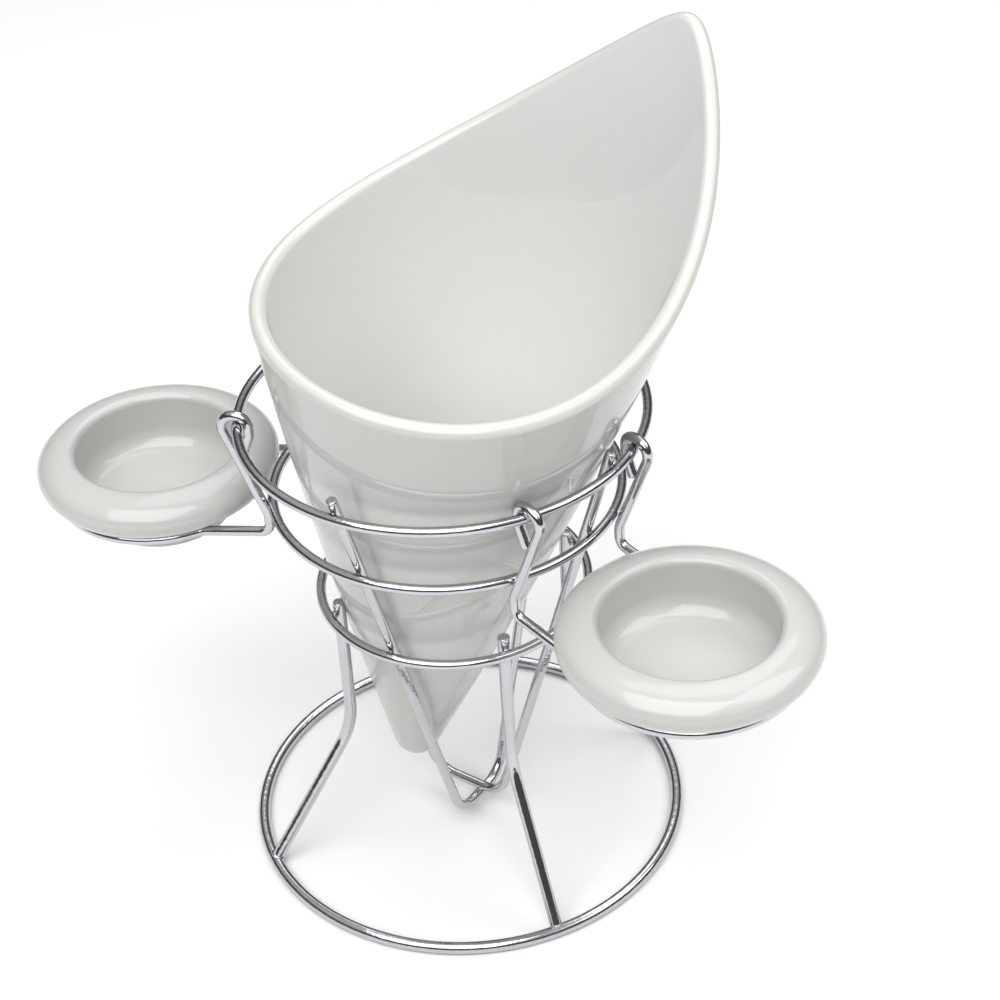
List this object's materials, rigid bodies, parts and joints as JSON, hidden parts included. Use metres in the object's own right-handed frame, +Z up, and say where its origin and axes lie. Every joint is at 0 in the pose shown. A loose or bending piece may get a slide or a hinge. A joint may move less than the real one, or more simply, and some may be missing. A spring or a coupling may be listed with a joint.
{
  "type": "fries_cone_stand",
  "caption": "Glazed porcelain fries cone with a slanted, pointed mouth, leaning in a round chromed wire stand that carries dip dishes in hooked wire holders.",
  "frame": {"origin": "on the ground, in the middle of the stand's base ring", "axes": "+Z up, +Y to the back, away from the viewer of the picture, +X to the viewer's right"},
  "size_m": [0.2195, 0.1682, 0.2485],
  "materials": {
    "glaze": "glossy white glaze",
    "wire": "bright polished chrome plate"
  },
  "bodies": {
    "root": {"fries_cone": "glaze", "base_ring": "wire", "lower_ring": "wire", "middle_ring": "wire", "upper_ring": "wire", "right_leg": "wire", "back_leg": "wire", "left_leg": "wire", "front_leg": "wire", "long_v_wire": "wire", "cross_v_wire": "wire", "right_holder": "wire", "left_holder": "wire", "right_dish": "glaze", "left_dish": "glaze"}
  },
  "joints": []
}
